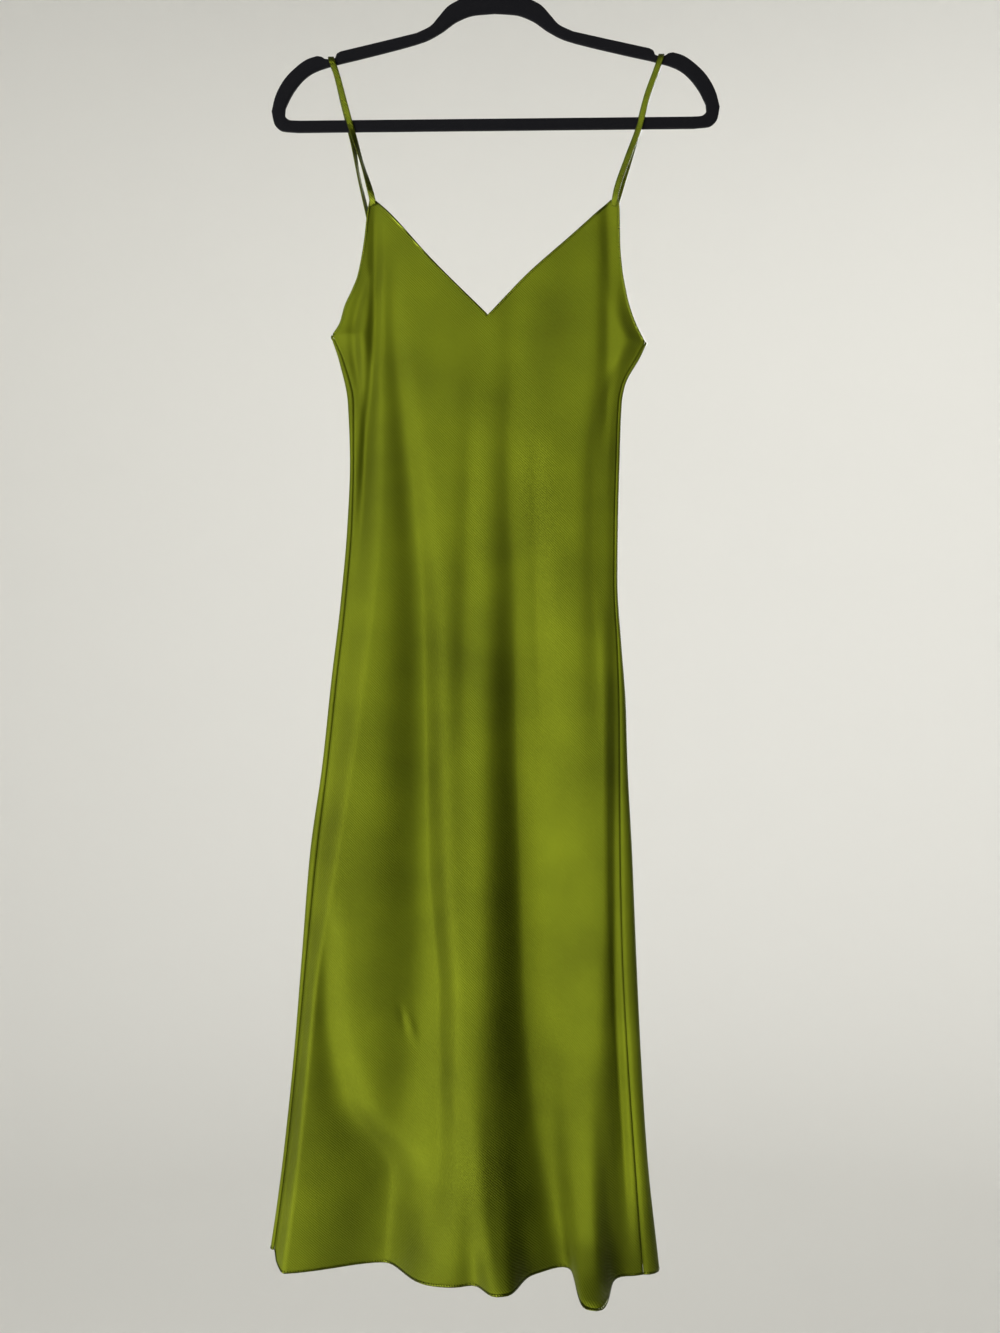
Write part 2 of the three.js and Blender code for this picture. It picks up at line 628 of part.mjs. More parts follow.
// A closed outline from its right half. Points stand closer where it bends, and none
// stand along its straight runs.
function hangerOutline(half) {
  const tilt = THREE.MathUtils.degToRad(HANGER_TILT);
  const pivot = new THREE.Vector2(0, HANGER_TILT_Z);
  const right = half.map(({ x, z }) => new THREE.Vector2(x, z));
  const left = half.slice(1, -1).reverse().map(({ x, z }) => new THREE.Vector2(-x, z));
  const turned = [...right, ...left].map((point) => point.rotateAround(pivot, tilt));
  const ring = turned.map(({ x, y }) => new THREE.Vector3(x, y, 0));
  const curve = new THREE.CatmullRomCurve3(ring, true, 'centripetal');
  const count = Math.round(curve.getLength() / HANGER_STEP);
  const points = curve.getSpacedPoints(count).slice(0, -1);
  const heading = (a, b) => Math.atan2(b.y - a.y, b.x - a.x);
  const kept = [points[0]];
  for (let i = 1; i < count - 1; i += 1) {
    const before = heading(kept[kept.length - 1], points[i]);
    const turn = heading(points[i], points[i + 1]) - before;
    if (Math.abs(Math.atan2(Math.sin(turn), Math.cos(turn))) > HANGER_TURN) {
      kept.push(points[i]);
    }
  }
  return kept.map(({ x, y }) => new THREE.Vector2(x, y));
}

function hangerGeometry() {
  const shape = new THREE.Shape(hangerOutline(HANGER_OUTSIDE));
  shape.holes.push(new THREE.Path(hangerOutline(HANGER_OPENING).reverse()));
  const geometry = new THREE.ExtrudeGeometry(shape, {
    depth: HANGER_THICKNESS - 2 * HANGER_EDGE_ROUND,
    bevelEnabled: true,
    bevelThickness: HANGER_EDGE_ROUND,
    bevelSize: HANGER_EDGE_ROUND,
    bevelOffset: -HANGER_EDGE_ROUND,
    bevelSegments: 1,
  });
  geometry.translate(0, 0, HANGER_EDGE_ROUND - HANGER_THICKNESS / 2);
  geometry.rotateX(Math.PI / 2);
  return geometry;
}

// The wire rises from the neck, bends right, and turns over the top to its tip.
function hookGeometry() {
  const wire = HOOK_WIRE / 2;
  const radius = HOOK_INSIDE_RADIUS + wire;
  const centreZ = -HOOK_INSIDE_RADIUS;
  const drop = Math.sqrt((radius + HOOK_BEND_RADIUS) ** 2 - HOOK_BEND_RADIUS ** 2);
  const bendZ = centreZ - drop;
  const meet = Math.atan2(drop, -HOOK_BEND_RADIUS);
  const points = [];
  const stem = NECK_TOP_Z + SEAM_GAP;
  for (const share of HOOK_RUN_STOPS) {
    points.push(new THREE.Vector3(0, 0, mix(stem, bendZ, share)));
  }
  for (const share of HOOK_RUN_STOPS) {
    const angle = mix(Math.PI, meet, share);
    points.push(new THREE.Vector3(
      HOOK_BEND_RADIUS + HOOK_BEND_RADIUS * Math.cos(angle), 0,
      bendZ + HOOK_BEND_RADIUS * Math.sin(angle)));
  }
  const start = meet - Math.PI;
  const end = THREE.MathUtils.degToRad(HOOK_TIP_ANGLE);
  for (let i = 0; i <= HOOK_TURNS; i += 1) {
    const angle = mix(start, end, i / HOOK_TURNS);
    points.push(new THREE.Vector3(
      radius * Math.cos(angle), 0, centreZ + radius * Math.sin(angle)));
  }
  const ring = [];
  for (let i = 0; i < HOOK_SIDES; i += 1) {
    const angle = (2 * Math.PI * i) / HOOK_SIDES;
    ring.push(new THREE.Vector2(wire * Math.cos(angle), wire * Math.sin(angle)));
  }
  return new THREE.ExtrudeGeometry(new THREE.Shape(ring), {
    steps: HOOK_STEPS,
    bevelEnabled: false,
    extrudePath: new THREE.CatmullRomCurve3(points, false, 'centripetal'),
  });
}

// ---------------------------------------------------------------- the whole

const satin = new THREE.MeshStandardMaterial({ color: '#6c7a1e', roughness: 0.42, metalness: 0 });
const flock = new THREE.MeshStandardMaterial({ color: '#0c0c0f', roughness: 0.95, metalness: 0 });
const steel = new THREE.MeshStandardMaterial({ color: '#c9cbce', roughness: 0.18, metalness: 1 });

const group = new THREE.Group();

function addPiece(name, geometry, material) {
  const mesh = new THREE.Mesh(geometry, material);
  mesh.name = name;
  group.add(mesh);
}

addPiece('front_panel', clothWall(frontPoint, frontRows(), CLOTH_WALL), satin);
addPiece('back_panel', clothWall(backPoint, backRows(), CLOTH_WALL), satin);
for (const [name, table] of [['strap_left', STRAP_LEFT], ['strap_right', STRAP_RIGHT]]) {
  const { pointAt, rows } = strapRowsAndPoint(table);
  addPiece(name, clothWall(pointAt, rows, CLOTH_WALL), satin);
}
addPiece('hanger_body', hangerGeometry(), flock);
addPiece('hanger_hook', hookGeometry(), steel);

export default group;
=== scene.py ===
import math
from collections import namedtuple

import bmesh
import bpy
import numpy as np
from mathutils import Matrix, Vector


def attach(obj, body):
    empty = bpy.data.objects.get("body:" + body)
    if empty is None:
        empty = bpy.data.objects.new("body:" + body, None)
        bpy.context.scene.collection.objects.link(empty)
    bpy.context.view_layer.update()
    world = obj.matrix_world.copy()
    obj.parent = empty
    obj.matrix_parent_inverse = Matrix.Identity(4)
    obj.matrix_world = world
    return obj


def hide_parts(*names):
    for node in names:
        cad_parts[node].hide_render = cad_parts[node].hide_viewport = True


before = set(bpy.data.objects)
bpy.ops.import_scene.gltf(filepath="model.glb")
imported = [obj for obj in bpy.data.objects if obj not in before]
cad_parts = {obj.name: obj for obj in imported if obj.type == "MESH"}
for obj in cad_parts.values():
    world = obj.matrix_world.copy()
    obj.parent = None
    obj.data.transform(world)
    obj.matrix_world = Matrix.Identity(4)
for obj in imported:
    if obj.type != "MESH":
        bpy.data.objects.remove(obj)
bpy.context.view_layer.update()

bl_info = {
    "name": "Slip Dress on a Hanger",
    "version": (1, 0, 0),
    "blender": (4, 5, 0),
    "location": "3D View > Sidebar > Slip Dress",
    "description": "Builds a bias-cut satin slip dress on a slim flocked hanger",
    "category": "Object",
}

# The tables below are in millimetres, as a pattern is drawn. MM turns them into metres.
# X runs along the hanger, Y from the dress's front to its back, and Z up from the hook.
MM = 0.001

HEM_Z = -1361.0
# The hem's left corner is rounded off, this high and over this share of the hem.
HEM_CORNER = 16.0
HEM_CORNER_SHARE = 0.045
# The panels stay this far apart where they are sewn together.
SEAM_GAP = 0.3
# Folds die out this near a seam, and the seam takes hold over this height below the arms.
SEAM_EASE = 12.0
SEAM_START = 40.0
SEAM_DIP = 1.2
SEAM_DIP_REACH = 2.6
CROWN_REACH_BEHIND = 34.0
# A fold fades out over this share of its run past each end.
FOLD_FADE = 0.12

Edge = namedtuple("Edge", "z x")
Place = namedtuple("Place", "x z")
Side = namedtuple("Side", "z seam edge ahead behind")
Top = namedtuple("Top", "across z")
Crown = namedtuple("Crown", "z left right behind reach_left reach_right")
Ahead = namedtuple("Ahead", "z ahead")
Fold = namedtuple("Fold", "name start end x left right rise power lean", defaults=(2, None))
Crinkle = namedtuple("Crinkle", "name x z length half angle rise")
Turn = namedtuple("Turn", "x y z turn")

# Edge of the front panel round each arm opening, from the strap down to the side seam.
ARM_LEFT = [
    Edge(-298, -125.3),
    Edge(-309, -127.5),
    Edge(-339, -131),
    Edge(-373, -137.5),
    Edge(-387, -143),
    Edge(-403, -150.5),
    Edge(-420, -155.5),
    Edge(-432, -163),
]
ARM_RIGHT = [
    Edge(-298, 122.8),
    Edge(-309, 123.6),
    Edge(-341, 124.2),
    Edge(-367, 126.5),
    Edge(-389, 130.5),
    Edge(-405, 134.5),
    Edge(-420, 140),
    Edge(-439, 149.5),
]

# The V neck: its edge on each side of the low point.
NECK_LEFT = [Place(-120, -298), Place(-104, -313), Place(-64.5, -357), Place(-7.5, -414)]
NECK_RIGHT = [Place(-7.5, -414), Place(30.5, -374), Place(76.5, -333), Place(115, -298)]

# Each side below the arm opening. seam: where front meets back; edge: how far out the
# cloth turns; ahead and behind: how far it lies each way from the hanger's plane.
SIDE_LEFT = [
    Side(-432, -163, -164.8, 3, 3),
    Side(-457, -152, -156.5, 3.5, 4),
    Side(-500, -141.5, -147.5, 5, 5),
    Side(-560, -141.5, -145.5, 5, 6),
    Side(-620, -143, -148, 5, 7),
    Side(-700, -149.5, -155, 6, 8),
    Side(-780, -158.5, -164.5, 6, 8),
    Side(-860, -167, -173, 6, 8),
    Side(-950, -178, -185.5, 6, 8),
    Side(-1050, -188, -193.5, 6, 8),
    Side(-1150, -197.5, -201.5, 6, 8),
    Side(-1250, -208, -212, 5, 8),
    Side(-1300, -214.5, -218.5, 4, 8),
    Side(-1361, -223, -227.5, 4, 8),
]
SIDE_RIGHT = [
    Side(-439, 149.5, 151.3, 3, 3),
    Side(-452, 142.5, 145.5, 3, 4),
    Side(-482, 126.5, 129.5, 3, 5),
    Side(-500, 123, 126.2, 4, 5),
    Side(-560, 120.5, 124, 4, 6),
    Side(-620, 119, 122.5, 4, 7),
    Side(-680, 118.5, 122, 5, 8),
    Side(-740, 121.5, 125.8, 5, 8),
    Side(-800, 123.5, 130.2, 6, 8),
    Side(-860, 124, 132, 6, 8),
    Side(-950, 124.5, 136.5, 8, 8),
    Side(-1050, 126.5, 140.5, 10, 8),
    Side(-1150, 131.5, 145, 13, 7),
    Side(-1250, 138, 151, 18, 5),
    Side(-1361, 145.5, 162.5, 26, 2),
]

# Top edge of the back panel, from 0 at the left seam to 1 at the right. The back's outer
# strips, TURN_SHARE of it at each side, turn round to meet the front.
BACK_TOP = [Top(0, -432), Top(0.22, -441.5), Top(0.5, -468), Top(0.78, -443), Top(1, -439)]
TURN_SHARE = 0.08

# How far ahead the front hangs, away from its left and right edges, and how far the back
# bellies out behind its seams. reach: how far in from each edge the front takes to get there.
CROWN = [
    Crown(-298, 8, 8, 0, 34, 20),
    Crown(-414, 13, 12, 2, 34, 20),
    Crown(-500, 17, 13, 5, 34, 20),
    Crown(-700, 22, 13, 8, 34, 18),
    Crown(-900, 25, 15, 10, 28, 16),
    Crown(-1100, 26, 21, 12, 15, 15),
    Crown(-1361, 27, 34, 11, 15, 14),
]
ARM_AHEAD = [Ahead(-298, 8), Ahead(-380, 5), Ahead(-439, 3)]

# Folds, a row each, running from one height down to another. Each list gives its column
# at even steps down that run: x of its bottom or crest, how wide it is to the left and to
# the right of that, and the rise off the cloth, where a rise below nothing is a trough. A
# power over 2 flattens a crest; lean carries it sideways.
FRONT_FOLDS = [
    Fold("left strap fall", -304, -640, [-120, -120, -123, -131, -137], [6, 6, 6, 8, 10],
         [6, 6, 6, 8, 8], [-3, -6, -8, -8, -2]),
    Fold("left tip", -380, -520, [-130, -141, -139, -137], [5, 6, 6, 6], [5, 5, 6, 6],
         [-2, -5, -4, -1]),
    Fold("left hollow", -430, HEM_Z, [-101, -86, -75, -71, -68, -57, -58, -75],
         [9, 15, 22, 28, 36, 48, 50, 40], [10, 12, 14, 13, 13, 12, 16, 24],
         [-3, -8, -14, -19, -22, -25, -20, -5]),
    Fold("left hem hollow", -1020, HEM_Z, [-168, -166, -152, -108, -112],
         [10, 12, 24, 60, 66], [12, 14, 20, 28, 24], [-4, -8, -15, -29, -33]),
    Fold("left of centre", -500, -1010, [-24, -27, -30, -32, -33], [10, 12, 13, 13, 13],
         [10, 12, 14, 14, 14], [-1, -3.5, -4, -2, -1]),
    Fold("centre", -440, HEM_Z, [17, 15, 21, 22, 26, 30, 45, 68],
         [12, 13, 17, 18, 19, 22, 26, 27], [14, 20, 30, 44, 55, 50, 32, 16],
         [-2, -5, -11, -19, -25, -29, -27, -26]),
    Fold("right of centre", -560, -860, [40, 43, 50], [8, 9, 9], [9, 10, 10],
         [-1.4, -2.8, -1]),
    Fold("right strap fall", -304, -860, [112, 113, 101, 101, 101], [7, 9, 11, 12, 12],
         [7, 8, 9, 9, 9], [-3, -5, -4.5, -4, -1]),
    Fold("right side", -740, HEM_Z, [124, 125, 125, 124, 127, 131],
         [8, 9, 10, 12, 14, 12], [8, 8, 8, 8, 9, 12], [-3, -7, -11, -15, -15, -5]),
    Fold("centre ridge", -700, HEM_Z, [-25, -24, -24, -28, -40, -52],
         [38, 38, 40, 42, 44, 40], [30, 30, 32, 38, 42, 40], [1, 4, 9, 15, 20, 27], 3),
    Fold("middle hem ridge", -1120, HEM_Z, [-10, -8, -4, 0, 6], [20, 20, 20, 20, 20],
         [20, 20, 20, 20, 20], [0.5, 3, 7, 15, 45], 3),
    Fold("forward fold", -1130, HEM_Z, [78, 81, 85, 90, 96], [22, 21, 20, 18, 16.5],
         [22, 20, 19, 18, 18], [0.5, 3, 8, 20, 44], 4, [0, 0, -1, -3, -6]),
    Fold("lip of the forward fold", -1321, HEM_Z, [92, 94, 96], [16, 16, 16], [17, 17, 17],
         [0.2, 8, 32], 8),
]
BACK_FOLDS = [
    Fold("left strap fall", -450, -900, [-98, -104, -112], [9, 12, 14], [9, 12, 14],
         [-4, -6, -2]),
    Fold("left fold", -620, HEM_Z, [-92, -98, -110, -128], [22, 24, 26, 28],
         [14, 16, 18, 20], [3, 7, 11, 15]),
    Fold("middle trough", -560, HEM_Z, [-28, -36, -44, -58], [14, 18, 22, 24],
         [20, 28, 32, 34], [-3, -7, -10, -12]),
    Fold("middle fold", -700, HEM_Z, [18, 14, 4, -4], [24, 26, 28, 28], [16, 18, 20, 20],
         [3, 7, 10, 13]),
    Fold("right trough", -600, HEM_Z, [62, 58, 54, 48], [14, 17, 20, 20],
         [18, 20, 24, 24], [-3, -6, -9, -11]),
    Fold("right fold", -640, HEM_Z, [92, 94, 96, 100], [15, 17, 19, 22], [15, 17, 19, 22],
         [3, 6, 9, 12]),
]

# Small creases that no cut or fold explains: where the cloth was handled or leant on.
FRONT_CRINKLES = [
    Crinkle("thigh crinkle", -84, -1121, 26, 4, 20, 2.4),
    Crinkle("thigh crinkle's neighbour", -92, -1112, 22, 3.5, 16, -1.6),
    Crinkle("crinkle below it", -57, -1158, 16, 4, 24, 1.8),
    Crinkle("shin highlight", -40, -1192, 40, 5, 14, 1.6),
    Crinkle("left side crease", -166, -1012, 52, 4, 22, -1.0),
    Crinkle("below the neck", -9, -470, 60, 16, 4, -1.2),
    Crinkle("shin crinkle", -32, -1216, 66, 8, 8, -1.6),
]
BACK_CRINKLES = [
    Crinkle("seat crease", -20, -840, 70, 9, 70, -1.4),
    Crinkle("thigh crinkle", 46, -1084, 40, 6, -16, 1.5),
    Crinkle("calf crease", -70, -1230, 60, 8, 12, -1.6),
]

# The straps' middle lines, from the neck's points over the hanger to the back's edge.
# turn is how far the strap's width is twisted from lying along X, in degrees.
STRAP_LEFT = [
    Turn(-121.5, -6.6, -304, 0),
    Turn(-122.7, -8, -297.3, 0),
    Turn(-126.5, -7.2, -283, 32),
    Turn(-132.8, -6, -262, 62),
    Turn(-139.5, -5, -240, 38),
    Turn(-145, -4.3, -222, 6),
    Turn(-151, -4.6, -200, 0),
    Turn(-159.8, -4.6, -168, 0),
    Turn(-163.4, -4.4, -158.4, 0),
    Turn(-164.3, -3.1, -155, 0),
    Turn(-164.6, 0, -153.6, 0),
    Turn(-164.3, 3.1, -155, 0),
    Turn(-163.4, 4.4, -158.4, 0),
    Turn(-159.8, 4.6, -168, 0),
    Turn(-152, 4.6, -200, 0),
    Turn(-146.5, 4.3, -222, 10),
    Turn(-142.5, 4.8, -240, 40),
    Turn(-137.8, 5.6, -268, 66),
    Turn(-131.5, 6.4, -296, 58),
    Turn(-117, 6.6, -355, 20),
    Turn(-98.4, 6.2, -438.6, 0),
    Turn(-96.8, 5.2, -446, 0),
]
STRAP_RIGHT = [
    Turn(117.9, -6.6, -305, 0),
    Turn(118.9, -8, -297.3, 0),
    Turn(121, -7.6, -287, 0),
    Turn(131, -6, -258, 0),
    Turn(144.5, -4.3, -221, 0),
    Turn(150.5, -4.6, -196, 0),
    Turn(161.6, -4.6, -165, 0),
    Turn(164.8, -4.4, -155.6, 0),
    Turn(165.7, -3.1, -152.2, 0),
    Turn(166, 0, -150.8, 0),
    Turn(165.7, 3.1, -152.2, 0),
    Turn(164.8, 4.4, -155.6, 0),
    Turn(161.6, 4.6, -165, 0),
    Turn(150.5, 4.6, -196, 0),
    Turn(144, 4.3, -221, 0),
    Turn(120, 5.6, -302, 0),
    Turn(80.6, 6.2, -440.2, 0),
    Turn(78.8, 5.2, -448, 0),
]

# The hanger's right half, in matching stretches of its outside and its opening; the left
# half mirrors it. Each stretch is drawn with the same number of stops on both.
HANGER_TILT = 0.6
HANGER_TILT_Z = -190.0
HANGER_STRETCHES = [
    ([Place(0, -84), Place(12, -85.5), Place(24, -90.5), Place(37, -97), Place(46.5, -102.5),
      Place(56, -113), Place(64, -122), Place(78, -129)],
     [Place(0, -110), Place(20, -111.5), Place(37, -117.5), Place(53, -128.5),
      Place(68, -136.5), Place(80, -140.5)]),
    ([Place(78, -129), Place(110, -136.5), Place(134, -142), Place(154, -146.6)],
     [Place(80, -140.5), Place(95, -144.5), Place(133, -153.8), Place(155, -158.8)]),
    ([Place(154, -146.6), Place(158, -149), Place(160, -153.4), Place(165, -154.6),
      Place(170, -154), Place(173.5, -151.8), Place(178, -151)],
     [Place(155, -158.8), Place(165, -161.4), Place(174, -164.2)]),
    ([Place(178, -151), Place(187, -153.8), Place(198, -161), Place(212, -175.5),
      Place(220.5, -192), Place(224, -206)],
     [Place(174, -164.2), Place(182, -167.6), Place(191, -174), Place(203, -189),
      Place(210, -203)]),
    ([Place(224, -206), Place(221.5, -218), Place(213, -225.5), Place(198, -227)],
     [Place(210, -203), Place(210.5, -210), Place(205, -215), Place(196, -215.5)]),
    ([Place(198, -227), Place(100, -227), Place(0, -227)],
     [Place(196, -215.5), Place(100, -215.5), Place(0, -215.5)]),
]
HANGER_THICKNESS = 6.0

HOOK_INSIDE_RADIUS = 22.0
HOOK_WIRE = 3.6
HOOK_BEND_RADIUS = 12.0
HOOK_TIP_ANGLE = 196.0
HOOK_FOOT_Z = -90.0


# ------------------------------------------------------------------ curves and folds

def mix(a, b, t):
    return a + (b - a) * t


def ease(t):
    k = np.clip(t, 0, 1)
    return k * k * (3 - 2 * k)


def through(xs, ys, at):
    """A smooth curve through (xs, ys), read at a number or an array, never overshooting."""
    xs = np.asarray(xs, float)
    ys = np.asarray(ys, float)
    if xs[0] > xs[-1]:
        xs = xs[::-1]
        ys = ys[::-1]
    slope = np.diff(ys) / np.diff(xs)
    before = slope[:-1]
    after = slope[1:]
    same_way = before * after > 0
    total = np.where(same_way, before + after, 1)
    tangent = np.concatenate([
        slope[:1],
        np.where(same_way, 2 * before * after / total, 0),
        slope[-1:],
    ])
    at = np.clip(at, xs[0], xs[-1])
    i = np.clip(np.searchsorted(xs, at, side="right") - 1, 0, len(xs) - 2)
    span = xs[i + 1] - xs[i]
    t = (at - xs[i]) / span
    level = mix(ys[i], ys[i + 1], t * t * (3 - 2 * t))
    lead = t * (1 - t) ** 2 * span * tangent[i]
    trail = t * t * (t - 1) * span * tangent[i + 1]
    return level + lead + trail


def value_at(rows, by, key, at):
    return through([getattr(r, by) for r in rows], [getattr(r, key) for r in rows], at)


def along_list(values, t):
    return through(np.linspace(0, 1, len(values)), values, t)


def fold_push(folds, x, z):
    """The folds' push at each place: sideways along X, and outwards."""
    aside = np.zeros_like(x)
    out = np.zeros_like(x)
    for fold in folds:
        t = (z - fold.start) / (fold.end - fold.start)
        fade = ease(t / FOLD_FADE + 1)
        if fold.end != HEM_Z:
            fade = fade * ease((1 - t) / FOLD_FADE + 1)
        rise = along_list(fold.rise, t)
        off = x - along_list(fold.x, t)
        reach = off / np.where(off < 0, along_list(fold.left, t), along_list(fold.right, t))
        shape = np.exp(-np.abs(reach) ** fold.power) * fade
        out += rise * shape
        if fold.lean:
            aside += along_list(fold.lean, t) * shape
    return aside, out


def crinkle_push(crinkles, x, z):
    out = np.zeros_like(x)
    for crinkle in crinkles:
        turn = math.radians(crinkle.angle)
        dx = x - crinkle.x
        dz = z - crinkle.z
        across = dx * math.cos(turn) + dz * math.sin(turn)
        along = dz * math.cos(turn) - dx * math.sin(turn)
        reach = (across / crinkle.half) ** 2 + (2 * along / crinkle.length) ** 2
        out += crinkle.rise * np.exp(-reach)
    return out


def seam_dip(inside):
    """The seam's own tightness: it draws the cloth in beside it."""
    return SEAM_DIP * np.exp(-inside / SEAM_DIP_REACH)


def hem_z(across):
    """The hem's height: its left corner is rounded off."""
    corner = 1 - np.clip(across / HEM_CORNER_SHARE, 0, 1)
    return HEM_Z + HEM_CORNER * (1 - np.sqrt(1 - corner * corner))


# ------------------------------------------------------------------ the two panels

# The share of the front's rows that lie above the arm openings' low points, and how much
# closer together the rows below them start.
ROWS_ABOVE_SHARE = 0.24
ROW_BIAS = 1.15
NECK_HALVINGS = 24
PLAN_SAMPLES = 500


def front_edge_x(z, arm, side):
    above = value_at(arm, "z", "x", z)
    below = value_at(side, "z", "seam", z)
    return np.where(z > side[0].z, above, below)


def front_edge_ahead(z, side):
    above = value_at(ARM_AHEAD, "z", "ahead", z)
    below = value_at(side, "z", "ahead", z)
    return np.where(z > side[0].z, above, below)


def neck_z(x):
    left = value_at(NECK_LEFT, "x", "z", x)
    right = value_at(NECK_RIGHT, "x", "z", x)
    return np.where(x < NECK_RIGHT[0].x, left, right)


def front_x(across, z):
    left = front_edge_x(z, ARM_LEFT, SIDE_LEFT) + SEAM_GAP / 2
    right = front_edge_x(z, ARM_RIGHT, SIDE_RIGHT) - SEAM_GAP / 2
    return mix(left, right, across)


def front_share(x, z):
    left = front_edge_x(z, ARM_LEFT, SIDE_LEFT)
    right = front_edge_x(z, ARM_RIGHT, SIDE_RIGHT)
    return float((x - left) / (right - left))


def front_top_z(across):
    """Where each column meets the neck's edge, found by halving."""
    low = np.full_like(across, NECK_LEFT[-1].z)
    high = np.full_like(across, NECK_LEFT[0].z)
    for _ in range(NECK_HALVINGS):
        z = (low + high) / 2
        under = neck_z(front_x(across, z)) > z
        low = np.where(under, z, low)
        high = np.where(under, high, z)
    return (low + high) / 2


def front_surface(across, down):
    across, down = np.broadcast_arrays(np.asarray(across, float), np.asarray(down, float))
    tip = mix(SIDE_LEFT[0].z, SIDE_RIGHT[0].z, across)
    upper = mix(front_top_z(across), tip, down / ROWS_ABOVE_SHARE)
    t = np.clip((down - ROWS_ABOVE_SHARE) / (1 - ROWS_ABOVE_SHARE), 0, 1)
    z = np.where(down <= ROWS_ABOVE_SHARE, upper, mix(tip, hem_z(across), t ** ROW_BIAS))
    x = front_x(across, z)
    inside = np.minimum(
        x - front_edge_x(z, ARM_LEFT, SIDE_LEFT),
        front_edge_x(z, ARM_RIGHT, SIDE_RIGHT) - x,
    )
    edge = mix(front_edge_ahead(z, SIDE_LEFT), front_edge_ahead(z, SIDE_RIGHT), across)
    middle = mix(value_at(CROWN, "z", "left", z), value_at(CROWN, "z", "right", z), across)
    reach = mix(
        value_at(CROWN, "z", "reach_left", z), value_at(CROWN, "z", "reach_right", z), across)
    ahead = mix(edge, middle, ease(inside / reach))
    aside, out = fold_push(FRONT_FOLDS, x, z)
    sewn = ease((tip - z) / SEAM_START)
    held = mix(1, ease(inside / SEAM_EASE), sewn)
    out = out * held + crinkle_push(FRONT_CRINKLES, x, z) - seam_dip(inside) * sewn
    return np.stack([x + aside * held, -(ahead + out), z], axis=-1)


def turn_surface(side, way, angle, z):
    def at(key):
        return value_at(side, "z", key, z)

    radius = (at("ahead") + at("behind")) / 2
    width = np.abs(at("edge") - at("seam")) - SEAM_GAP / 2
    x = at("seam") + way * (SEAM_GAP / 2 + width * np.sin(angle))
    y = radius - at("ahead") - radius * np.cos(angle)
    return np.stack([x, y + seam_dip(radius * angle), z], axis=-1)


def back_surface(across, down):
    across, down = np.broadcast_arrays(np.asarray(across, float), np.asarray(down, float))
    hem = hem_z(np.maximum(0, across - TURN_SHARE))
    z = mix(value_at(BACK_TOP, "across", "z", across), hem, down ** ROW_BIAS)
    left = turn_surface(SIDE_LEFT, -1, np.pi * np.minimum(1, across / TURN_SHARE), z)
    right = turn_surface(
        SIDE_RIGHT, 1, np.pi * np.minimum(1, (1 - across) / TURN_SHARE), z)
    share = np.clip((across - TURN_SHARE) / (1 - 2 * TURN_SHARE), 0, 1)
    x = mix(left[..., 0], right[..., 0], share)
    inside = np.minimum(x - left[..., 0], right[..., 0] - x)
    crown = value_at(CROWN, "z", "behind", z) * ease(inside / CROWN_REACH_BEHIND)
    aside, out = fold_push(BACK_FOLDS, x, z)
    out = (out + crinkle_push(BACK_CRINKLES, x, z)) * ease(inside / SEAM_EASE)
    y = mix(left[..., 1], right[..., 1], share) + crown + out
    middle = np.stack([x, y, z], axis=-1)
    turned = np.where((across < TURN_SHARE)[..., None], left, right)
    between = (across >= TURN_SHARE) & (across <= 1 - TURN_SHARE)
    return np.where(between[..., None], middle, turned)


def even_columns(surface, downs, keys, counts):
    """Values across for each row, at even distances in plan between each pair of keys."""
    rows = []
    for down in downs:
        stops = [keys[0]]
        for start, end, count in zip(keys, keys[1:], counts):
            across = np.linspace(start, end, PLAN_SAMPLES)
            points = surface(across, np.full(PLAN_SAMPLES, down))[:, :2]
            steps = np.hypot(*np.diff(points, axis=0).T)
            length = np.concatenate([[0], np.cumsum(steps)])
            wanted = np.linspace(0, length[-1], count + 1)[1:]
            stops.extend(np.interp(wanted, length, across))
        rows.append(stops)
    return np.array(rows)


def panel_points(surface, keys, counts, row_count):
    downs = np.linspace(0, 1, row_count + 1)
    across = even_columns(surface, downs, keys, counts)
    return surface(across, np.repeat(downs[:, None], across.shape[1], axis=1)) * MM


# ------------------------------------------------------------------ mesh making

MERGE_DISTANCE = 1e-7
ROLL_SIDES = 10
ROLL_SET_IN = 0.42


def finished(name, mesh_data, materials, replaced=()):
    """Turns a bmesh into a smooth piece that rides on the body."""
    mesh = bpy.data.meshes.new(name)
    mesh_data.to_mesh(mesh)
    mesh_data.free()
    for material in materials:
        mesh.materials.append(material)
    mesh.polygons.foreach_set("use_smooth", [True] * len(mesh.polygons))
    piece = bpy.data.objects.new(name, mesh)
    bpy.context.scene.collection.objects.link(piece)
    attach(piece, "root")
    if replaced:
        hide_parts(*replaced)
    return piece


def placed_grid(points, wrap_across=False, wrap_along=False, close_ends=False):
    """A bmesh grid whose vertices take the places in points, row by row.

    Wrapped edges are merged, and open ends can be filled, so a grid makes a tube too."""
    row_count, column_count = points.shape[:2]
    grid = bmesh.new()
    bmesh.ops.create_grid(
        grid, x_segments=column_count - 1, y_segments=row_count - 1, size=1,
        calc_uvs=False)
    grid.verts.ensure_lookup_table()
    for index, vert in enumerate(grid.verts):
        vert.co = points[index // column_count, index % column_count]
    if wrap_across or wrap_along:
        bmesh.ops.remove_doubles(grid, verts=grid.verts, dist=MERGE_DISTANCE)
    if close_ends:
        rims = [edge for edge in grid.edges if edge.is_boundary]
        bmesh.ops.holes_fill(grid, edges=rims, sides=0)
    return grid


def length_along(line):
    """How far along a line each of its points lies."""
    steps = np.linalg.norm(np.diff(line, axis=0), axis=1)
    return np.concatenate([[0], np.cumsum(steps)])


def unit(vectors):
    return vectors / np.linalg.norm(vectors, axis=-1, keepdims=True)


def headings(line):
    return unit(np.gradient(line, axis=0))


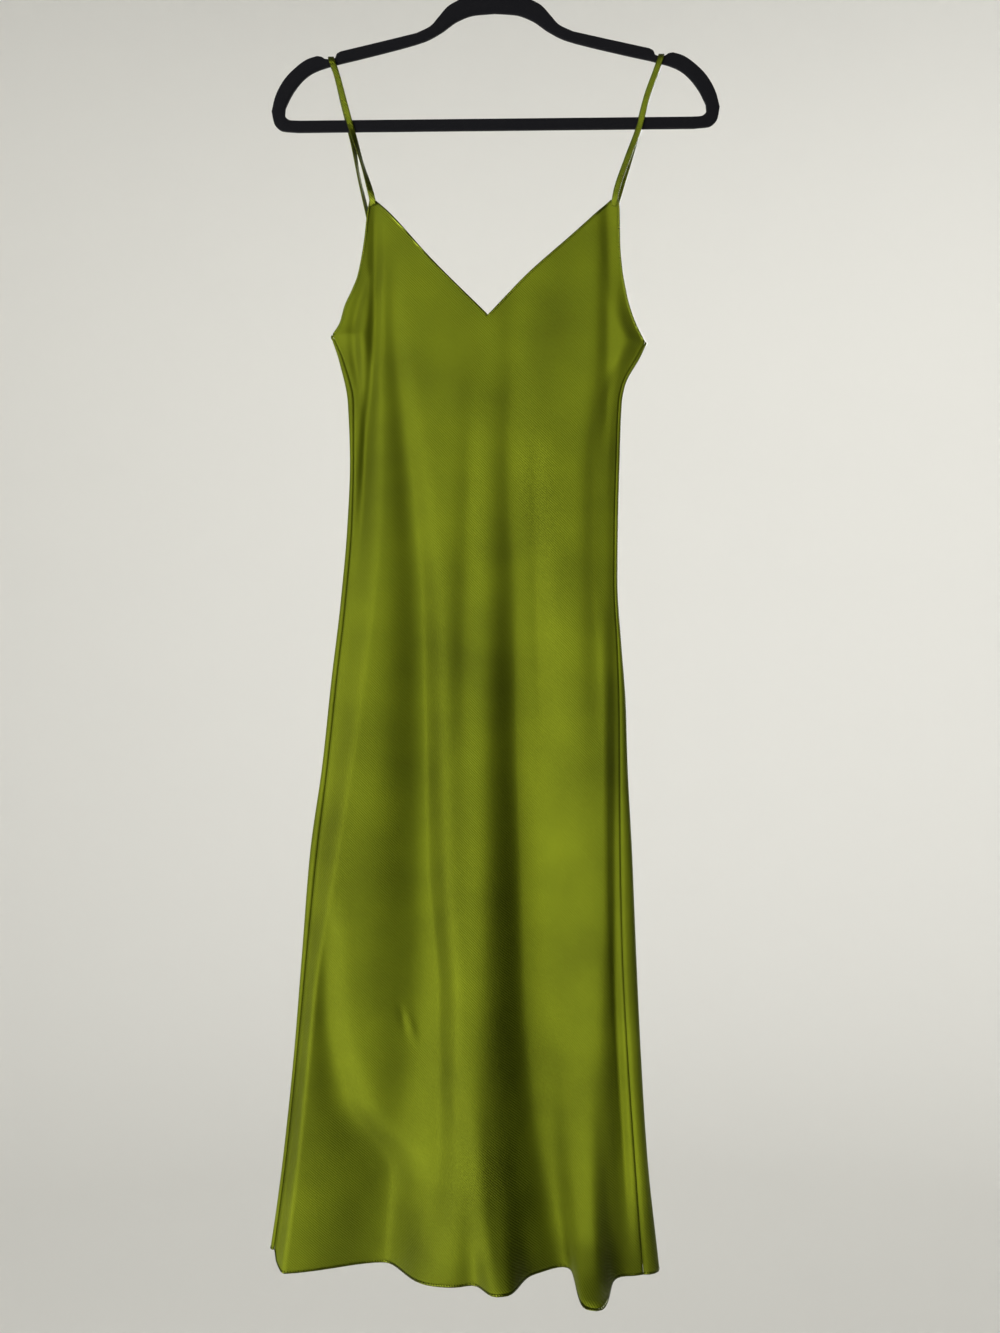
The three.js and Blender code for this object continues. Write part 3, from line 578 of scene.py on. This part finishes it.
def add_thickness(piece, thickness):
    wall = piece.modifiers.new("Cloth thickness", "SOLIDIFY")
    wall.thickness = thickness
    wall.offset = 0
    wall.use_even_offset = True
    wall.material_offset = 1
    return wall


def surface_normals(points):
    """Normals of a grid of points, pointing to the side that its faces face."""
    down = np.gradient(points, axis=0)
    across = np.gradient(points, axis=1)
    return unit(np.cross(down, across))


def edge_roll(name, line, normals, inward, width, height, materials, slot):
    """A narrow turned edge: a flattened tube that lies along a panel's edge."""
    tangent = headings(line)
    inward = unit(inward - tangent * np.sum(inward * tangent, axis=-1, keepdims=True))
    centre = line + inward * width * ROLL_SET_IN
    angles = np.linspace(0, 2 * np.pi, ROLL_SIDES + 1)
    rings = (
        centre[:, None, :]
        + inward[:, None, :] * (np.cos(angles) * width / 2)[None, :, None]
        + normals[:, None, :] * (np.sin(angles) * height / 2)[None, :, None]
    )
    grid = placed_grid(rings, wrap_across=True, close_ends=True)
    bmesh.ops.recalc_face_normals(grid, faces=grid.faces)
    return finished(name, grid, materials)


# ------------------------------------------------------------------ materials

# Sizes of the patterns, in metres. The satin's slubs and grain and the hanger's pile are
# drawn coarser than real ones, so that they show.
DYE_PATCH = 0.09
SLUB_LENGTH = 0.0026
GRAIN_DEPTH = 0.0005
FLOCK_TUFT = 0.0012
FLOCK_DEPTH = 0.0005
PLATING_WEAR = 0.006
SATIN_UNEVENNESS = 0.1


def colour(hex_code):
    """An sRGB hex colour as linear red, green and blue."""
    parts = [int(hex_code[i:i + 2], 16) / 255 for i in (1, 3, 5)]
    return [c / 12.92 if c <= 0.04045 else ((c + 0.055) / 1.055) ** 2.4 for c in parts]


def add_node(material, kind, inputs=None, **settings):
    """Adds a node. An input is a value, or another node's output to link from."""
    tree = material.node_tree
    made = tree.nodes.new(kind)
    for key, value in settings.items():
        setattr(made, key, value)
    for key, value in (inputs or {}).items():
        if isinstance(value, bpy.types.NodeSocket):
            tree.links.new(value, made.inputs[key])
        else:
            made.inputs[key].default_value = value
    return made


def new_material(name):
    material = bpy.data.materials.new(name)
    material.use_nodes = True
    material.node_tree.nodes.clear()
    return material


def output_of(material, shader):
    add_node(material, "ShaderNodeOutputMaterial", {"Surface": shader.outputs["BSDF"]})
    return material


def satin_material(name, base, lift, gloss, roughness, settings):
    """Woven polyester satin, cut on the bias."""
    # Long floats of warp lie side by side on the face, so it throws back a broad, soft,
    # coloured light and stays dark where it turns away; the reverse is duller. Uneven dye
    # and slubbed yarn keep it from looking like plastic.
    material = new_material(name)
    coords = add_node(material, "ShaderNodeTexCoord")
    bias = add_node(material, "ShaderNodeMapping", {
        "Vector": coords.outputs["Object"],
        "Rotation": (0, math.radians(45), 0),
    })
    cloud = add_node(material, "ShaderNodeTexNoise", {
        "Vector": coords.outputs["Object"], "Scale": 1 / DYE_PATCH, "Detail": 2.0,
    })
    shade = add_node(material, "ShaderNodeMix", {
        "Factor": cloud.outputs["Fac"], 6: (*base, 1), 7: (*lift, 1),
    }, data_type="RGBA")
    # Warp threads lie about 0.1 mm apart; drawn at 1.8 mm so that the grain shows, and
    # turned 45 degrees, as the cloth is cut. A wave of scale s repeats every pi / 10 s.
    thread = add_node(material, "ShaderNodeTexWave", {
        "Vector": bias.outputs["Vector"],
        "Scale": math.pi / (10 * settings.thread_spacing),
        "Distortion": 1.6, "Detail": 2.0, "Detail Scale": 0.8,
    }, wave_type="BANDS", bands_direction="X")
    slub = add_node(material, "ShaderNodeTexNoise", {
        "Vector": coords.outputs["Object"], "Scale": 1 / SLUB_LENGTH, "Detail": 3.0,
    })
    grain = add_node(material, "ShaderNodeMath", {
        0: thread.outputs["Fac"], 1: slub.outputs["Fac"],
    }, operation="ADD")
    bump = add_node(material, "ShaderNodeBump", {
        "Height": grain.outputs["Value"], "Strength": 0.5, "Distance": GRAIN_DEPTH,
    })
    worn = add_node(material, "ShaderNodeMapRange", {
        "Value": slub.outputs["Fac"],
        "To Min": roughness - SATIN_UNEVENNESS, "To Max": roughness + SATIN_UNEVENNESS,
    })
    shader = add_node(material, "ShaderNodeBsdfPrincipled", {
        "Base Color": shade.outputs[2],
        "Roughness": worn.outputs["Result"],
        "IOR": 1.6,
        "Specular IOR Level": 0.5,
        "Specular Tint": (*gloss, 1),
        "Normal": bump.outputs["Normal"],
    })
    return output_of(material, shader)


def flock_material():
    """Moulded polystyrene flocked with black nylon fibre."""
    # Fibre standing on end in glue traps the light, so the body is black, without gloss,
    # and only a little paler where it curves away.
    material = new_material("Flocked polystyrene")
    coords = add_node(material, "ShaderNodeTexCoord")
    pile = add_node(material, "ShaderNodeTexNoise", {
        "Vector": coords.outputs["Object"], "Scale": 1 / FLOCK_TUFT, "Detail": 2.0,
    })
    bump = add_node(material, "ShaderNodeBump", {
        "Height": pile.outputs["Fac"], "Strength": 0.5, "Distance": FLOCK_DEPTH,
    })
    shader = add_node(material, "ShaderNodeBsdfPrincipled", {
        "Base Color": (*colour("#08080B"), 1),
        "Roughness": 0.95,
        "Specular IOR Level": 0.15,
        "Sheen Weight": 0.04,
        "Sheen Roughness": 0.5,
        "Normal": bump.outputs["Normal"],
    })
    return output_of(material, shader)


def wire_material():
    """Steel wire, drawn and bright nickel plated."""
    # Plating over drawn wire mirrors its surroundings, slightly softened where rails rub it.
    material = new_material("Nickel-plated steel wire")
    coords = add_node(material, "ShaderNodeTexCoord")
    wear = add_node(material, "ShaderNodeTexNoise", {
        "Vector": coords.outputs["Object"], "Scale": 1 / PLATING_WEAR, "Detail": 3.0,
    })
    rough = add_node(material, "ShaderNodeMapRange", {
        "Value": wear.outputs["Fac"], "To Min": 0.14, "To Max": 0.3,
    })
    shader = add_node(material, "ShaderNodeBsdfPrincipled", {
        "Base Color": (*colour("#C9CACD"), 1),
        "Metallic": 1.0,
        "Roughness": rough.outputs["Result"],
    })
    return output_of(material, shader)


def backdrop_material():
    """Matt painted plaster."""
    # Flat wall paint scatters light evenly, so it is plain and shows no gloss.
    material = new_material("Matt painted plaster")
    shader = add_node(material, "ShaderNodeBsdfPrincipled", {
        "Base Color": (*colour("#E4E3DE"), 1), "Roughness": 0.9,
    })
    return output_of(material, shader)


# ------------------------------------------------------------------ settings

def length(label, words, default):
    return bpy.props.FloatProperty(
        name=label, description=words, default=default, unit="LENGTH", precision=4)


def paint(label, words, default):
    return bpy.props.FloatVectorProperty(
        name=label, description=words, default=colour(default), subtype="COLOR", size=3,
        min=0, max=1)


class SlipDressCloth(bpy.types.PropertyGroup):
    thickness: length("Thickness", "Thickness of the satin", 0.0004)
    roll_width: length("Edge width", "Width of the turned edges", 0.0026)
    roll_height: length("Edge height", "Thickness of the turned edges", 0.0012)
    strap_width: length("Strap width", "Finished width of each strap", 0.006)
    strap_thickness: length("Strap thickness", "Thickness of each strap", 0.0014)
    thread_spacing: length("Thread spacing", "Spacing of the threads drawn", 0.0018)
    base_colour: paint("Satin", "Colour of the satin", "#101302")
    lift_colour: paint("Satin lift", "Colour of the satin where the dye is lighter", "#171A03")
    gloss_colour: paint("Gloss", "Colour of the light that the satin throws back", "#EEFF58")
    reverse_colour: paint("Reverse", "Colour of the satin's dull side", "#464C0E")


class SlipDressStudio(bpy.types.PropertyGroup):
    floor_drop: length("Floor drop", "How far the floor lies under the hem", 0.9)
    lamp_power: bpy.props.FloatProperty(
        name="Lamps", description="Power of the key light", default=100.0, unit="POWER")
    fill_strength: bpy.props.FloatProperty(
        name="Fill", description="Strength of the light from all round", default=0.2)


# ------------------------------------------------------------------ operators

FRONT_COUNTS = (3, 72, 68, 5)
FRONT_ROWS = 260
BACK_COUNTS = (8, 110, 8)
BACK_ROWS = 200
STRAP_STEP = 0.0012
STRAP_ROUNDING = 0.42
HANGER_SECTIONS = 20
HANGER_STOPS = 60
# The hanger's section is a rounded rectangle. A higher corner value makes it squarer, and
# its ends bulge by this share of half its thickness.
HANGER_CORNER = 1.9
HANGER_BULGE = 0.5


def satins(context):
    cloth = context.scene.slip_dress_cloth
    face = bpy.data.materials.get("Polyester satin face")
    reverse = bpy.data.materials.get("Polyester satin reverse")
    if face is None:
        face = satin_material(
            "Polyester satin face", cloth.base_colour, cloth.lift_colour,
            cloth.gloss_colour, 0.3, cloth)
        reverse = satin_material(
            "Polyester satin reverse", cloth.reverse_colour, cloth.base_colour,
            cloth.gloss_colour, 0.7, cloth)
    return face, reverse


class SLIPDRESS_OT_front(bpy.types.Operator):
    """Cut and hang the front panel with its turned edges"""

    bl_idname = "slip_dress.front"
    bl_label = "Front Panel"

    def execute(self, context):
        cloth = context.scene.slip_dress_cloth
        materials = satins(context)
        keys = (
            0.0,
            front_share(NECK_LEFT[0].x, NECK_LEFT[0].z),
            front_share(NECK_RIGHT[0].x, NECK_RIGHT[0].z),
            front_share(NECK_RIGHT[-1].x, NECK_RIGHT[-1].z),
            1.0,
        )
        points = panel_points(front_surface, keys, FRONT_COUNTS, FRONT_ROWS)
        normals = surface_normals(points)
        grid = placed_grid(points)
        piece = finished("front_panel_satin", grid, materials, ["front_panel"])
        add_thickness(piece, cloth.thickness)
        size = (cloth.roll_width, cloth.roll_height)
        first = FRONT_COUNTS[0]
        middle = first + FRONT_COUNTS[1]
        last = middle + FRONT_COUNTS[2]
        tips = int(round(FRONT_ROWS * ROWS_ABOVE_SHARE))
        runs = [
            ("front_neck_edge_left", np.s_[0, first:middle + 1], np.s_[1, first:middle + 1]),
            ("front_neck_edge_right", np.s_[0, middle:last + 1], np.s_[1, middle:last + 1]),
            ("front_arm_edge_left", np.s_[:tips + 1, 0], np.s_[:tips + 1, 1]),
            ("front_arm_edge_right", np.s_[:tips + 1, -1], np.s_[:tips + 1, -2]),
            ("front_hem_edge", np.s_[-1, :], np.s_[-2, :]),
        ]
        edges = [
            edge_roll(name, points[run], normals[run], points[inner] - points[run], *size,
                      materials, "satin")
            for name, run, inner in runs
        ]
        return {"FINISHED"}


class SLIPDRESS_OT_back(bpy.types.Operator):
    """Cut and hang the back panel with its turned edges"""

    bl_idname = "slip_dress.back"
    bl_label = "Back Panel"

    def execute(self, context):
        cloth = context.scene.slip_dress_cloth
        materials = satins(context)
        keys = (0.0, TURN_SHARE, 1 - TURN_SHARE, 1.0)
        points = panel_points(back_surface, keys, BACK_COUNTS, BACK_ROWS)
        points = points[:, ::-1]
        normals = surface_normals(points)
        grid = placed_grid(points)
        piece = finished("back_panel_satin", grid, materials, ["back_panel"])
        add_thickness(piece, cloth.thickness)
        size = (cloth.roll_width, cloth.roll_height)
        edges = [
            edge_roll(name, points[run], normals[run], points[inner] - points[run], *size,
                      materials, "satin")
            for name, run, inner in [
                ("back_top_edge", np.s_[0, :], np.s_[1, :]),
                ("back_hem_edge", np.s_[-1, :], np.s_[-2, :]),
            ]
        ]
        return {"FINISHED"}


class SLIPDRESS_OT_straps(bpy.types.Operator):
    """Hang the two straps over the hanger"""

    bl_idname = "slip_dress.straps"
    bl_label = "Straps"

    def execute(self, context):
        cloth = context.scene.slip_dress_cloth
        materials = satins(context)
        for side, table in (("left", STRAP_LEFT), ("right", STRAP_RIGHT)):
            points = self.strap_points(table, cloth.strap_width)
            piece = finished(
                "strap_" + side + "_satin", placed_grid(points), materials[:1] * 2,
                ["strap_" + side])
            add_thickness(piece, cloth.strap_thickness)
            rounding = piece.modifiers.new("Rounded edges", "BEVEL")
            rounding.width = cloth.strap_thickness * STRAP_ROUNDING
            rounding.segments = 2
            rounding.limit_method = "ANGLE"
        return {"FINISHED"}

    def strap_points(self, table, width):
        line = np.array([row[:3] for row in table], float) * MM
        at = length_along(line)
        fine = np.unique(np.concatenate([
            np.linspace(a, b, max(2, int((b - a) / STRAP_STEP))) for a, b in zip(at, at[1:])]))
        centre = np.stack([through(at, line[:, k], fine) for k in range(3)], axis=-1)
        turn = np.radians(through(at, [row.turn for row in table], fine))
        heading = headings(centre)
        wide = np.stack([np.cos(turn), np.sin(turn), np.zeros_like(turn)], axis=-1)
        wide = unit(wide - heading * np.sum(wide * heading, axis=-1, keepdims=True))
        offsets = np.linspace(-0.5, 0.5, 5) * width
        return centre[:, None, :] + wide[:, None, :] * offsets[None, :, None]


class SLIPDRESS_OT_hanger(bpy.types.Operator):
    """Mould the flocked hanger and bend its hook"""

    bl_idname = "slip_dress.hanger"
    bl_label = "Hanger"

    def execute(self, context):
        self.body()
        self.hook()
        return {"FINISHED"}

    def body(self):
        right = np.concatenate([
            np.stack([self.run(outer), self.run(inner)], axis=1)
            for outer, inner in HANGER_STRETCHES])
        left = right[::-1] * (-1, 1)
        both = np.concatenate([right, left])
        steps = np.linalg.norm(np.diff(both[:, 0], axis=0), axis=1)
        both = both[np.concatenate([[True], steps > 1e-6])]
        cos_tilt = math.cos(math.radians(HANGER_TILT))
        sin_tilt = math.sin(math.radians(HANGER_TILT))
        swing = np.array([[cos_tilt, sin_tilt], [-sin_tilt, cos_tilt]])
        pivot = np.array([0, HANGER_TILT_Z])
        both = (both - pivot) @ swing + pivot
        middle = both.mean(axis=1)
        half = (both[:, 0] - both[:, 1]) / 2
        reach = np.linalg.norm(half, axis=-1, keepdims=True)
        round_at = np.linspace(0, 2 * np.pi, HANGER_SECTIONS + 1)
        thick = HANGER_THICKNESS / 2
        bulge = thick * HANGER_BULGE
        cosine = np.cos(round_at)
        squareness = math.tanh(HANGER_CORNER)
        depth = thick * np.tanh(HANGER_CORNER * np.sin(round_at)) / squareness
        spread = np.tanh(HANGER_CORNER * cosine) / squareness
        offset = (reach - bulge) * spread[None, :] + bulge * cosine[None, :]
        flat = middle[:, None, :] + (half / reach)[:, None, :] * offset[..., None]
        points = np.stack([
            flat[..., 0], np.broadcast_to(depth, flat.shape[:2]), flat[..., 1]], axis=-1)
        grid = placed_grid(points * MM, wrap_across=True, wrap_along=True)
        bmesh.ops.recalc_face_normals(grid, faces=grid.faces)
        finished("hanger_body_flocked", grid, [flock_material()], ["hanger_body"])

    def run(self, rows):
        line = np.array(rows, float)
        at = length_along(line)
        fine = np.linspace(0, at[-1], HANGER_STOPS)
        return np.stack([through(at, line[:, k], fine) for k in range(2)], axis=-1)

    def hook(self):
        wire = HOOK_WIRE / 2
        radius = HOOK_INSIDE_RADIUS + wire
        centre_z = -HOOK_INSIDE_RADIUS
        drop = math.sqrt((radius + HOOK_BEND_RADIUS) ** 2 - HOOK_BEND_RADIUS ** 2)
        bend_z = centre_z - drop
        meet = math.atan2(drop, -HOOK_BEND_RADIUS)
        stem = [(0, z) for z in np.linspace(HOOK_FOOT_Z, bend_z, 12)[:-1]]
        bend = [
            (HOOK_BEND_RADIUS * (1 + math.cos(a)), bend_z + HOOK_BEND_RADIUS * math.sin(a))
            for a in np.linspace(math.pi, meet, 16)[:-1]
        ]
        top = [
            (radius * math.cos(a), centre_z + radius * math.sin(a))
            for a in np.linspace(meet - math.pi, math.radians(HOOK_TIP_ANGLE), 90)
        ]
        line = np.array([(x, 0, z) for x, z in stem + bend + top])
        level = np.array([0, 1, 0])
        side = np.cross(headings(line), level)
        # The tip is ground to a dome.
        left_over = length_along(line[::-1])[::-1]
        dome = np.sqrt(np.clip(1 - (1 - np.minimum(1, left_over / wire)) ** 2, 0.01, 1))
        angles = np.linspace(0, 2 * np.pi, 17)
        spread = wire * dome[:, None, None]
        points = (
            line[:, None, :]
            + side[:, None, :] * np.cos(angles)[None, :, None] * spread
            + level * np.sin(angles)[None, :, None] * spread
        )
        grid = placed_grid(points * MM, wrap_across=True, close_ends=True)
        bmesh.ops.recalc_face_normals(grid, faces=grid.faces)
        finished("hanger_hook_wire", grid, [wire_material()], ["hanger_hook"])


# The key stands low, ahead and to the left, and the window light fills from the left side.
# The back key lights the back, and the last two light the wall and the
# floor. share: each one's part of the studio's lamp power; spread: its beam, in degrees.
Lamp = namedtuple("Lamp", "name place aim wide high share spread")
STUDIO_LAMPS = [
    Lamp("Key light", (-1.6, -2.7, -1.65), (0, 0, -1.0), 3.6, 2.6, 1.7, 110),
    Lamp("Window light", (-3.2, -1.2, -0.9), (0, 0, -0.75), 2.6, 2.4, 0.06, 80),
    Lamp("Back key light", (1.5, 2.9, 0.3), (0, 0, -0.6), 2.2, 1.6, 0.25, 60),
    Lamp("Wall light", (0, 1.2, 3.4), (0, 6.6, -2.4), 6.0, 2.0, 0.36, 130),
    Lamp("Floor light", (0, 2.6, 3.4), (0, 3.4, -2.4), 6.0, 3.0, 0.16, 130),
]
CAMERA_PLACE = (0.0045, -1.5, -0.763)
CAMERA_LENS = 40.5
CAMERA_SENSOR = 36.0
# The backdrop, in metres: how far off its wall stands, its corner's radius and its height.
SWEEP_RADIUS = 6.0
SWEEP_CORNER = 3.0
SWEEP_HEIGHT = 7.0


class SLIPDRESS_OT_stage(bpy.types.Operator):
    """Set the backdrop, the lights and the camera"""

    bl_idname = "slip_dress.stage"
    bl_label = "Stage"

    def execute(self, context):
        scene = context.scene
        studio = scene.slip_dress_studio
        self.backdrop(scene, HEM_Z * MM - studio.floor_drop)
        for lamp in STUDIO_LAMPS:
            self.light(scene, lamp, studio.lamp_power)
        world = bpy.data.worlds.new("Studio")
        world.use_nodes = True
        world.node_tree.nodes["Background"].inputs["Color"].default_value = (1, 1, 1, 1)
        world.node_tree.nodes["Background"].inputs["Strength"].default_value = (
            studio.fill_strength)
        scene.world = world
        data = bpy.data.cameras.new("Camera")
        data.lens = CAMERA_LENS
        data.sensor_width = CAMERA_SENSOR
        camera = bpy.data.objects.new("Camera", data)
        camera.location = CAMERA_PLACE
        camera.rotation_euler = (math.pi / 2, 0, 0)
        scene.collection.objects.link(camera)
        scene.camera = camera
        scene.view_settings.view_transform = "Standard"
        scene.view_settings.look = "Medium High Contrast"
        return {"FINISHED"}

    def backdrop(self, scene, floor_z):
        """A floor that sweeps up into a round wall on every side."""
        profile = bmesh.new()
        flat = SWEEP_RADIUS - SWEEP_CORNER
        places = [(r, 0) for r in (0.02, 1, 2, flat)]
        places += [
            (flat + SWEEP_CORNER * math.sin(a), SWEEP_CORNER * (1 - math.cos(a)))
            for a in np.linspace(0, math.pi / 2, 9)[1:]
        ]
        places += [(SWEEP_RADIUS, 4.0), (SWEEP_RADIUS, SWEEP_HEIGHT)]
        verts = [profile.verts.new((x, 0, z + floor_z)) for x, z in places]
        for a, b in zip(verts, verts[1:]):
            profile.edges.new((a, b))
        bmesh.ops.spin(
            profile, geom=profile.verts[:] + profile.edges[:], cent=(0, 0, 0),
            axis=(0, 0, 1), angle=2 * math.pi, steps=64, use_merge=True)
        bmesh.ops.remove_doubles(profile, verts=profile.verts, dist=1e-5)
        rims = [e for e in profile.edges if e.is_boundary and e.verts[0].co.z < floor_z + 0.01]
        bmesh.ops.holes_fill(profile, edges=rims, sides=0)
        mesh = bpy.data.meshes.new("Studio sweep")
        profile.to_mesh(mesh)
        profile.free()
        mesh.materials.append(backdrop_material())
        mesh.polygons.foreach_set("use_smooth", [True] * len(mesh.polygons))
        sweep = bpy.data.objects.new("Studio sweep", mesh)
        scene.collection.objects.link(sweep)

    def light(self, scene, lamp, power):
        data = bpy.data.lights.new(lamp.name, "AREA")
        data.shape = "RECTANGLE"
        data.size = lamp.wide
        data.size_y = lamp.high
        data.energy = power * lamp.share
        data.spread = math.radians(lamp.spread)
        made = bpy.data.objects.new(lamp.name, data)
        made.location = lamp.place
        aim = Vector(lamp.aim) - Vector(lamp.place)
        made.rotation_euler = aim.to_track_quat("-Z", "Y").to_euler()
        made.visible_camera = False
        scene.collection.objects.link(made)


class SLIPDRESS_PT_sidebar(bpy.types.Panel):
    bl_label = "Slip Dress"
    bl_idname = "SLIPDRESS_PT_sidebar"
    bl_space_type = "VIEW_3D"
    bl_region_type = "UI"
    bl_category = "Slip Dress"

    def draw(self, context):
        layout = self.layout
        for operator in OPERATORS:
            layout.operator(operator.bl_idname)
        for group in (context.scene.slip_dress_cloth, context.scene.slip_dress_studio):
            box = layout.box()
            for key in group.bl_rna.properties.keys():
                if key not in ("rna_type", "name"):
                    box.prop(group, key)


OPERATORS = (
    SLIPDRESS_OT_stage,
    SLIPDRESS_OT_front,
    SLIPDRESS_OT_back,
    SLIPDRESS_OT_straps,
    SLIPDRESS_OT_hanger,
)
CLASSES = (SlipDressCloth, SlipDressStudio, *OPERATORS, SLIPDRESS_PT_sidebar)


def register():
    for cls in CLASSES:
        bpy.utils.register_class(cls)
    bpy.types.Scene.slip_dress_cloth = bpy.props.PointerProperty(type=SlipDressCloth)
    bpy.types.Scene.slip_dress_studio = bpy.props.PointerProperty(type=SlipDressStudio)


def unregister():
    del bpy.types.Scene.slip_dress_studio
    del bpy.types.Scene.slip_dress_cloth
    for cls in reversed(CLASSES):
        bpy.utils.unregister_class(cls)


def main():
    register()
    bpy.ops.slip_dress.stage()
    bpy.ops.slip_dress.front()
    bpy.ops.slip_dress.back()
    bpy.ops.slip_dress.straps()
    bpy.ops.slip_dress.hanger()


if __name__ == "__main__":
    main()
